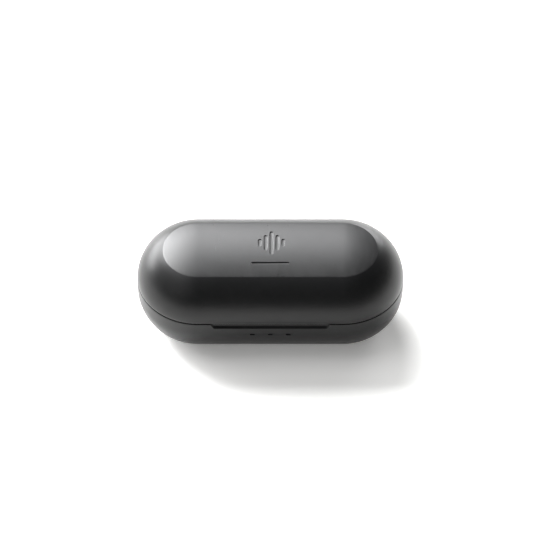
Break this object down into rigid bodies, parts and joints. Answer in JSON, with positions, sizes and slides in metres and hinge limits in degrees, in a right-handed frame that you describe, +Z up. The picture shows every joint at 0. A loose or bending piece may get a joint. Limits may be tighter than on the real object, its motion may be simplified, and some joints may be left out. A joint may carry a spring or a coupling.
{
  "type": "wireless earbuds case",
  "caption": "Pill-shaped hinged charging case for a pair of wireless earbuds, with magnets, sprung charging contacts, a battery and a charging port.",
  "frame": {"origin": "middle of the flat underside, at the centre of the closed case's footprint", "axes": "+Z up out of the lid, +X along the length, -Y towards the front with the thumb notch and the indicator windows, +Y towards the hinge and the charging port"},
  "size_m": [0.073, 0.0338, 0.029],
  "materials": {
    "case_plastic": "fine matte moulded plastic, lightly brushed on the top facet",
    "tray_plastic": "fine matte moulded plastic",
    "hinge_steel": "stamped steel",
    "pin_steel": "ground steel",
    "screw_steel": "plated steel",
    "board": "green solder mask over glass laminate",
    "chip": "moulded package",
    "port_steel": "formed sheet",
    "port_insulator": "moulded",
    "led_body": "moulded package",
    "clear_guide": "clear moulded plastic",
    "cell_film": "laminated foil pouch",
    "foam": "adhesive foam",
    "red_wire": "insulated lead",
    "black_wire": "insulated lead",
    "magnet_nickel": "nickel plated",
    "contact_gold": "gold plated",
    "spring_steel": "drawn wire"
  },
  "bodies": {
    "base": {"base_shell": "case_plastic", "cradle_tray": "tray_plastic", "hinge_base_bracket": "hinge_steel", "hinge_base_screws": "screw_steel", "hinge_pin": "pin_steel", "main_pcb": "board", "pcb_chips": "chip", "pcb_screws": "screw_steel", "usb_receptacle_shell": "port_steel", "usb_tongue": "port_insulator", "indicator_leds": "led_body", "light_guide": "clear_guide", "battery_cell": "cell_film", "battery_foam_pad": "foam", "battery_lead_positive": "red_wire", "battery_lead_negative": "black_wire", "earbud_magnets": "magnet_nickel", "base_magnets": "magnet_nickel", "contact_block_left": "tray_plastic", "contact_block_right": "tray_plastic", "contact_barrel_left_outer": "contact_gold", "contact_barrel_left_inner": "contact_gold", "contact_barrel_right_inner": "contact_gold", "contact_barrel_right_outer": "contact_gold", "contact_spring_left_outer": "spring_steel", "contact_spring_left_inner": "spring_steel", "contact_spring_right_inner": "spring_steel", "contact_spring_right_outer": "spring_steel"},
    "lid": {"lid_shell": "case_plastic", "lid_liner": "tray_plastic", "hinge_lid_bracket": "hinge_steel", "hinge_lid_screws": "screw_steel", "lid_magnets": "magnet_nickel"},
    "pin_left_outer": {"contact_pin_left_outer": "contact_gold"},
    "pin_left_inner": {"contact_pin_left_inner": "contact_gold"},
    "pin_right_inner": {"contact_pin_right_inner": "contact_gold"},
    "pin_right_outer": {"contact_pin_right_outer": "contact_gold"}
  },
  "joints": [
    {"name": "lid_hinge", "type": "hinge", "parent": "base", "child": "lid", "pos_m": [0, 0.0156, 0.0166], "axis": [-1, 0, 0], "range_deg": [0, 98]},
    {"name": "press_left_outer", "type": "slide", "parent": "base", "child": "pin_left_outer", "axis": [0, 0, -1], "range_m": [0, 0.0008], "stiffness_N_per_m": 500, "springref_m": -0.0005, "deforming": ["contact_spring_left_outer"]},
    {"name": "press_left_inner", "type": "slide", "parent": "base", "child": "pin_left_inner", "axis": [0, 0, -1], "range_m": [0, 0.0008], "stiffness_N_per_m": 500, "springref_m": -0.0005, "deforming": ["contact_spring_left_inner"]},
    {"name": "press_right_inner", "type": "slide", "parent": "base", "child": "pin_right_inner", "axis": [0, 0, -1], "range_m": [0, 0.0008], "stiffness_N_per_m": 500, "springref_m": -0.0005, "deforming": ["contact_spring_right_inner"]},
    {"name": "press_right_outer", "type": "slide", "parent": "base", "child": "pin_right_outer", "axis": [0, 0, -1], "range_m": [0, 0.0008], "stiffness_N_per_m": 500, "springref_m": -0.0005, "deforming": ["contact_spring_right_outer"]}
  ]
}
